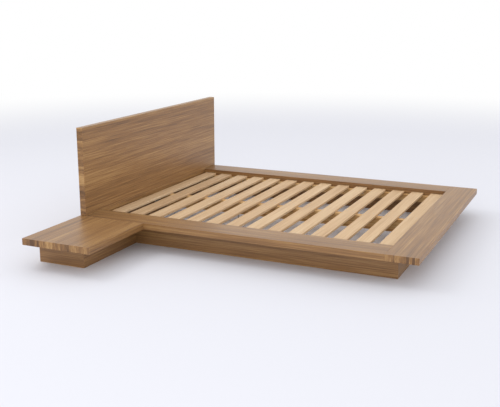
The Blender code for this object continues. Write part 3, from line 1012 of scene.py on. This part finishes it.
@dataclass
class LevellingFoot:
    """One levelling foot: a flanged insert, a lock nut, a threaded stud and a swivel pad."""

    number: int
    pitch: float = 0.0015
    bore: float = 0.0054
    stud_radius: float = 0.005
    chamfer: float = 0.0008
    flange: float = 0.002
    insert_wall: float = 0.0013
    spanner_slot: float = 0.0022
    collar_height: float = 0.006
    collar_gap: float = 0.0003
    pad_base: float = 0.006
    pad_neck: float = 0.0105
    pad_floor: float = 0.005
    ribs: int = 10
    rib_width: float = 0.0012

    def build(self) -> None:
        """Makes the foot's four pieces."""
        self.build_insert()
        self.build_nut()
        self.build_stud()
        self.build_pad()

    def stand(self, piece: Object) -> Object:
        """Moves a piece from the origin to the foot's own axis.

        Args:
            piece: The piece.

        Returns:
            The same piece.
        """
        low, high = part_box(f"foot_pad_{self.number}")
        centre = (low + high) / 2
        piece.data.transform(Matrix.Translation((centre.x, centre.y, 0)))
        return piece

    def hexagon(self, name: str, node: str, low: float, high: float) -> Object:
        """Models a hexagon whose corners are turned off at top and bottom.

        Args:
            name: The piece's name.
            node: The node whose lesser width it has over two flats.
            low: Its underside.
            high: Its top.

        Returns:
            The hexagon.
        """
        box_low, box_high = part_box(node)
        across = min(box_high.x - box_low.x, box_high.y - box_low.y)
        corner = across / math.sqrt(3)
        piece = drum(name, corner, low, high, 6)
        flat, past = across / 2 * 0.965, corner + 0.0002
        profile = [(0, low), (flat, low), (past, low + self.chamfer)]
        profile += [(past, high - self.chamfer), (flat, high), (0, high)]
        combine(piece, lathe("turning_limit", profile, sides=48), "INTERSECT")
        return piece

    def build_insert(self) -> None:
        """Turns the flanged insert, with two slots for its spanner."""
        node = f"foot_insert_{self.number}"
        low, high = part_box(node)
        rim = (high.x - low.x) / 2
        flange, outside, arris = low.z + self.flange, self.bore + self.insert_wall, 0.0004
        profile = [(self.bore, low.z + 0.0003), (self.bore + 0.0003, low.z)]
        profile += [(rim - arris, low.z), (rim, low.z + arris), (rim, flange)]
        profile += [(outside, flange), (outside, high.z), (self.bore, high.z)]
        insert = lathe(f"{node}_turned", profile)
        half = Vector((0.002, self.spanner_slot / 2, 0.001))
        for side in (-rim, rim):
            start, end = Vector((side, 0, low.z)), Vector((side, 0, flange))
            combine(insert, cuboid("spanner_slot", start - half, end + half))
        hand_over(self.stand(insert), ZINC_PLATE, node)

    def build_nut(self) -> None:
        """Makes the lock nut."""
        node = f"foot_lock_nut_{self.number}"
        low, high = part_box(node)
        nut = self.hexagon(f"{node}_forged", node, low.z, high.z)
        combine(nut, drum("bore_tool", self.bore, low.z - 0.001, high.z + 0.001))
        hand_over(self.stand(nut), ZINC_PLATE, node)

    def build_stud(self) -> None:
        """Cuts the stud's thread and joins it to its hexagon collar."""
        node = f"foot_stud_{self.number}"
        low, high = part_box(node)
        collar_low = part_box(f"foot_pad_{self.number}")[1].z + self.collar_gap
        collar_high = collar_low + self.collar_height
        stud = self.hexagon(f"{node}_threaded", node, collar_low, collar_high)
        radius, arris, sunk = self.stud_radius, 0.0006, collar_low + 0.001
        neck = [(0, low.z), (radius - arris, low.z), (radius, low.z + arris)]
        combine(stud, lathe("neck_tool", [*neck, (radius, sunk), (0, sunk)]), "UNION")
        rod = threaded_rod("rod_tool", radius, self.pitch, collar_high - 0.0005, high.z)
        combine(stud, rod, "UNION")
        hand_over(self.stand(stud), ZINC_PLATE, node, node)

    def build_pad(self) -> None:
        """Moulds the swivel pad, with ribs from its neck to its rim."""
        node = f"foot_pad_{self.number}"
        low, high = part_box(node)
        rim, neck, base = (high.x - low.x) / 2, self.pad_neck, low.z + self.pad_base
        # from the hollow underside, round the rim, up the neck and down into the socket
        profile = [(0, low.z + 0.0008), (rim - 0.006, low.z + 0.0008), (rim - 0.0055, low.z)]
        profile += [(rim - 0.001, low.z), (rim, low.z + 0.001), (rim, base - 0.0012)]
        profile += [(rim - 0.0004, base - 0.0004), (rim - 0.0012, base), (neck + 0.0012, base)]
        profile += [(neck, base + 0.0012), (neck, high.z - 0.0006), (neck - 0.0006, high.z)]
        profile += [(self.bore, high.z), (self.bore, low.z + self.pad_floor)]
        pad = lathe(f"{node}_moulded", [*profile, (0, low.z + self.pad_floor)], sides=48)
        half, top = self.rib_width / 2, high.z - 0.0015
        rib = cuboid(
            "rib_pattern",
            Vector((neck - 0.0004, -half, base - 0.0008)),
            Vector((rim - 0.0015, half, top)),
        )
        slope = Vector((top - self.pad_base, 0, rim - neck - 0.002)).normalized()
        slice_off(rib, Vector((neck + 0.0008, 0, top)), slope)
        turns = [
            Matrix.Rotation(math.tau * step / self.ribs, 4, "Z") for step in range(self.ribs)
        ]
        combine(pad, set_of("rib_tool", rib, turns), "UNION")
        discard(rib)
        hand_over(self.stand(pad), MOULDED_NYLON, node, node)


@dataclass
class ShelfFixings:
    """The two bolts and sleeve nuts that hold the shelf's plinth to the bed's."""

    head: float = 0.0035
    chamfer: float = 0.0010
    bolt: float = 0.004
    sleeve: float = 0.0055
    sleeve_bore: float = 0.0044
    socket: float = 0.0029
    socket_depth: float = 0.0022

    def build(self) -> None:
        """Makes both pairs."""
        for place in ("front", "back"):
            self.fixing(f"shelf_bolt_{place}", 1, self.bolt)
            self.fixing(f"shelf_nut_{place}", -1, self.sleeve)

    def fixing(self, node: str, looks: int, shank: float) -> None:
        """Turns a bolt or a sleeve with a flat chamfered head and a socket or a bore.

        Args:
            node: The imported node.
            looks: The way its head looks along X, 1 or -1.
            shank: Its shank's radius.
        """
        low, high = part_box(node)
        centre = (low + high) / 2
        rim, tip = (high.z - low.z) / 2, low.x - high.x
        profile = [(0, tip), (shank, tip), (shank, -self.head), (rim, -self.head)]
        profile += [(rim, -self.chamfer), (rim - self.chamfer, -0.0001)]
        profile += [(rim - self.chamfer - 0.0003, 0), (0, 0)]
        if looks < 0:
            profile = [(self.sleeve_bore, tip), *profile[1:-1], (self.sleeve_bore, 0)]
        piece = lathe(f"{node}_turned", profile, sides=40)
        if looks > 0:
            combine(piece, drum("socket_tool", self.socket, -self.socket_depth, 0.001, 6))
        face = Vector((high.x if looks > 0 else low.x, centre.y, centre.z))
        piece.data.transform(facing(face, Vector((looks, 0, 0))))
        hand_over(piece, ZINC_PLATE, node)


@dataclass
class Studio:
    """The floor, the lights and the camera."""

    floor_colour: str = "#E1E2EA"
    floor_reach: float = 40.0
    fade_start: float = 4.6
    fade_end: float = 9.5
    lamps: tuple[tuple, ...] = (
        # name, place, what it is aimed at, size and power
        ("overhead", (-1.2, 3.0, 4.0), (0.2, 0.0, 0.0), 1.8, 34.0),
        ("foot_fill", (2.2, -5.0, 2.6), (0.3, 0.0, 0.2), 2.6, 24.0),
        ("shelf_side_fill", (-6.6, -1.4, 2.3), (0.0, 0.0, 0.1), 2.6, 66.0),
    )
    camera_place: tuple[float, float, float] = (-5.036, -2.092, 1.609)
    camera_heading: float = -65.58
    camera_tilt: float = 75.95
    lens_mm: float = 58.91

    def build(self) -> None:
        """Sets up all of it."""
        self.lay_floor()
        self.light()
        self.place_camera()
        bpy.context.scene.view_settings.view_transform = "Standard"

    def lay_floor(self) -> None:
        """Lays a pale floor that fades to white far from the bed."""
        pick()
        bpy.ops.mesh.primitive_plane_add(size=self.floor_reach * 2, location=(0, 0, 0))
        floor = settle("floor")
        made, add, shader = new_material("painted_floor")
        plug(shader, {"Base Color": linear(self.floor_colour), "Roughness": 0.75})
        place = add("TexCoord").outputs["Object"]
        away = add("VectorMath", {0: place}, operation="LENGTH").outputs["Value"]
        fade = add(
            "MapRange",
            {"Value": away, "From Min": self.fade_start, "From Max": self.fade_end},
            interpolation_type="SMOOTHSTEP",
        ).outputs["Result"]
        white = add("Emission", {"Color": (1, 1, 1, 1), "Strength": 1.0}).outputs["Emission"]
        mixed = add("MixShader", {0: fade, 1: shader.outputs["BSDF"], 2: white})
        plug(made.node_tree.nodes["Material Output"], {"Surface": mixed.outputs["Shader"]})
        floor.data.materials.append(made)

    def light(self) -> None:
        """Hangs one large soft light overhead, and fills from the foot and the shelf's side."""
        world = bpy.data.worlds.new("studio")
        world.use_nodes = True
        plug(world.node_tree.nodes["Background"], {"Color": linear("#FFFFFF"), "Strength": 1.0})
        bpy.context.scene.world = world
        for name, place, aim, size, power in self.lamps:
            data = bpy.data.lights.new(name, "AREA")
            data.shape, data.size, data.energy = "SQUARE", size, power
            lamp = bpy.data.objects.new(name, data)
            lamp.location = place
            lamp.rotation_euler = (Vector(aim) - lamp.location).to_track_quat("-Z", "Y").to_euler()
            lamp.visible_camera = False
            bpy.context.scene.collection.objects.link(lamp)

    def place_camera(self) -> None:
        """Sets the camera low at the shelf's side of the foot."""
        data = bpy.data.cameras.new("camera")
        data.lens = self.lens_mm
        camera = bpy.data.objects.new("camera", data)
        camera.location = self.camera_place
        heading, tilt = math.radians(self.camera_heading), math.radians(self.camera_tilt)
        camera.rotation_euler = (tilt, 0.0, heading)
        bpy.context.scene.collection.objects.link(camera)
        bpy.context.scene.camera = camera


@dataclass
class Deck:
    """The planks round the mattress, with the plates let in under their joints."""

    arris: float = 0.001

    def build(self) -> None:
        """Makes the planks."""
        left, right, shelf = JOINT_PLATES
        for node, grain, across, opening, plates in (
            ("left_side_plank", Axis.Y, Axis.X, DOWN, (left, shelf)),
            ("right_side_plank", Axis.Y, Axis.X, DOWN, (right,)),
            ("foot_plank", Axis.X, Axis.Y, DOWN, (left, right)),
            ("head_rail", Axis.X, Axis.Y, BACK, TIE_PLATES),
            ("headboard", Axis.X, Axis.Z, BACK, TIE_PLATES),
        ):
            board = Board(node, grain, across, self.arris).ease()
            for plate in plates:
                board.let_in(plate, opening)
            board.finish()


@dataclass
class Plinth:
    """The set-back plinths of bed and shelf, mitred at their outer corners."""

    mitre_gap: float = 0.00015
    bolt_hole: float = 0.0045
    sleeve_hole: float = 0.006

    def build(self) -> None:
        """Makes the rails."""
        left = Vector((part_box("left_plinth_rail")[0].x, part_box("foot_plinth_rail")[0].y, 0))
        right = Vector((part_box("right_plinth_rail")[1].x, left.y, 0))
        rail = self.rail("left_plinth_rail", Axis.Y, (left, -FOOT_LEFT))
        self.bore_for_bolts(rail, self.bolt_hole).finish()
        self.rail("right_plinth_rail", Axis.Y, (right, -FOOT_RIGHT)).finish()
        self.rail("foot_plinth_rail", Axis.X, (left, FOOT_LEFT), (right, FOOT_RIGHT)).finish()
        rail = self.rail("head_plinth_rail", Axis.X)
        for plate in TIE_PLATES:
            rail.let_in(plate, BACK)
        rail.finish()
        self.build_shelf()

    def build_shelf(self) -> None:
        """Makes the shelf's top and plinth."""
        top = Board("shelf_top", Axis.X, Axis.Y).ease()
        top.let_in("shelf_joint_plate", DOWN).finish()
        front = Vector((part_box("shelf_end_rail")[0].x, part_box("shelf_front_rail")[0].y, 0))
        back = Vector((front.x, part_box("shelf_back_rail")[1].y, 0))
        self.rail("shelf_end_rail", Axis.Y, (front, -FOOT_LEFT), (back, -HEAD_LEFT)).finish()
        self.rail("shelf_front_rail", Axis.X, (front, FOOT_LEFT)).finish()
        self.rail("shelf_back_rail", Axis.X, (back, HEAD_LEFT)).finish()
        rail = self.rail("shelf_inner_rail", Axis.Y)
        self.bore_for_bolts(rail, self.sleeve_hole).finish(PLANED_PINE)

    def rail(self, node: str, grain: Axis, *corners: tuple[Vector, Vector]) -> Board:
        """Saws a rail, mitres its ends and rounds its edges.

        Args:
            node: The rail's node.
            grain: The way it runs.
            corners: Each corner of the plinth that it reaches, and the way its waste lies.

        Returns:
            The rail.
        """
        board = Board(node, grain, Axis.Z, reach=[corner for corner, _ in corners])
        for corner, outward in corners:
            board.mitre(corner - outward * self.mitre_gap, outward)
        return board.ease()

    def bore_for_bolts(self, rail: Board, radius: float) -> Board:
        """Bores a rail that runs along Y for both bolts.

        Args:
            rail: The rail.
            radius: The holes' radius.

        Returns:
            The same rail.
        """
        for place in ("front", "back"):
            low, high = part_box(f"shelf_bolt_{place}")
            centre = (low + high) / 2
            tool = drum("drill", radius, rail.low.x - 0.005, rail.high.x + 0.005)
            turn = Matrix.Rotation(math.pi / 2, 4, "Y")
            tool.data.transform(Matrix.Translation((0, centre.y, centre.z)) @ turn)
            rail.bore(tool)
        return rail


@dataclass
class Base:
    """What carries the mattress: slats, ledgers, beam, cleats and blocks."""

    screw: WoodScrew = field(default_factory=WoodScrew)
    slats: int = 14
    slat_arris: float = 0.0025
    strip_arris: float = 0.0012
    beam_arris: float = 0.0015
    screw_inset: float = 0.022
    ledger_inset: float = 0.014
    # radius, and reach past the insert's top: for the insert and for the stud
    foot_drills: tuple[tuple[float, float], ...] = ((0.0072, 0.0003), (0.0055, 0.0100))

    def build(self) -> None:
        """Makes the base."""
        self.build_slats()
        self.build_strips()
        self.build_beam()
        self.build_blocks()

    def build_slats(self) -> None:
        """Makes the slats, each screwed to both ledgers and the beam."""
        low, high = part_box("slat_01")
        beam_low, beam_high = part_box("centre_beam")
        columns = (
            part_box("left_ledger")[1].x - self.ledger_inset,
            (beam_low.x + beam_high.x) / 2,
            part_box("right_ledger")[0].x + self.ledger_inset,
        )
        rows = [(low.y + high.y) / 2 + step for step in (-self.screw_inset, self.screw_inset)]
        spots = [Vector((x, y, high.z)) for x, y in product(columns, rows)]
        turned = random.Random(4)
        sinks = self.screw.countersinks("slat_sinks", [facing(spot, UP) for spot in spots])
        first = Board("slat_01", Axis.X, Axis.Y, arris=self.slat_arris).ease().bore(sinks)
        first.piece.name = "slat_pattern"
        places = []
        for number in range(1, self.slats + 1):
            node = f"slat_{number:02d}"
            shift = Vector((0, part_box(node)[0].y - low.y, 0))
            slat = copy_at(first.piece, f"{node}_board", Matrix.Translation(shift))
            mark_grain(slat.data, Axis.X, Axis.Y, node)
            hand_over(slat, PLANED_BEECH, node)
            places += [facing(spot + shift, UP, turned.uniform(0, 90)) for spot in spots]
        discard(first.piece)
        self.screw.drive("slat_screws", places)

    def build_strips(self) -> None:
        """Makes the cleats and the ledgers, with the screws in their faces."""
        turned = random.Random(7)
        places = []
        for node, axis, outward, count in (
            ("left_cleat", Axis.Y, (-1, 0, 0), 7),
            ("right_cleat", Axis.Y, (1, 0, 0), 8),
            ("foot_cleat", Axis.X, (0, -1, 0), 6),
            ("shelf_end_cleat", Axis.Y, (-1, 0, 0), 2),
            ("shelf_front_cleat", Axis.X, (0, -1, 0), 2),
            ("left_ledger", Axis.Y, (1, 0, 0), 8),
            ("right_ledger", Axis.Y, (-1, 0, 0), 8),
        ):
            low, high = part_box(node)
            centre, is_cleat = (low + high) / 2, node.endswith("cleat")
            face = [
                middle if not way else end if way > 0 else start
                for start, middle, end, way in zip(low, centre, high, outward)
            ]
            faces = [(face, outward, between(low[axis.value], high[axis.value], count))]
            if is_cleat:
                under = between(low[axis.value], high[axis.value], count * 2)[::2]
                faces.append(((centre.x, centre.y, low.z), DOWN, under))
            spots = []
            for middle, way, stretch in faces:
                for along in stretch:
                    spot = Vector(middle)
                    spot[axis.value] = along
                    spots.append(facing(spot, Vector(way), turned.uniform(0, 90)))
            board = Board(node, axis, Axis.Z, arris=self.strip_arris).ease()
            board.bore(self.screw.countersinks(f"{node}_sinks", spots))
            board.finish(OILED_TEAK if is_cleat else PLANED_PINE)
            places += spots
        self.screw.drive("strip_screws", places)

    def build_beam(self) -> None:
        """Makes the centre beam, bored for the levelling feet."""
        beam = Board("centre_beam", Axis.Y, Axis.Z, arris=self.beam_arris).ease()
        for foot, (radius, past) in product(LEVELLING_FEET, self.foot_drills):
            low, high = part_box(f"foot_insert_{foot}")
            centre = (low + high) / 2
            drill = drum("drill", radius, beam.low.z - 0.005, high.z + past)
            drill.data.transform(Matrix.Translation((centre.x, centre.y, 0)))
            beam.bore(drill)
        beam.finish(PLANED_PINE)

    def build_blocks(self) -> None:
        """Makes the three-cornered blocks in the plinth's corners."""
        for (end, y_sign), side in product((("head", -1), ("foot", 1)), Side):
            node = f"{end}_{side.value}_corner_block"
            low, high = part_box(node)
            slope = Vector((1 if side is Side.LEFT else -1, y_sign, 0)).normalized()
            board = Board(node, Axis.Z, Axis.X, arris=self.strip_arris)
            board.mitre((low + high) / 2, slope).ease().finish(PLANED_PINE)


def main() -> None:
    """Builds the bed frame's looks and the studio round it."""
    logging.basicConfig(level=logging.INFO, format="%(name)s %(message)s")
    Studio().build()
    hangers = (BeamHanger(end) for end in ("head", "foot"))
    feet = (LevellingFoot(number) for number in LEVELLING_FEET)
    for part in (Deck(), Plinth(), Base(), Plates(), *hangers, *feet, ShelfFixings()):
        LOG.info("building %s", type(part).__name__)
        part.build()


if __name__ == "__main__":
    main()
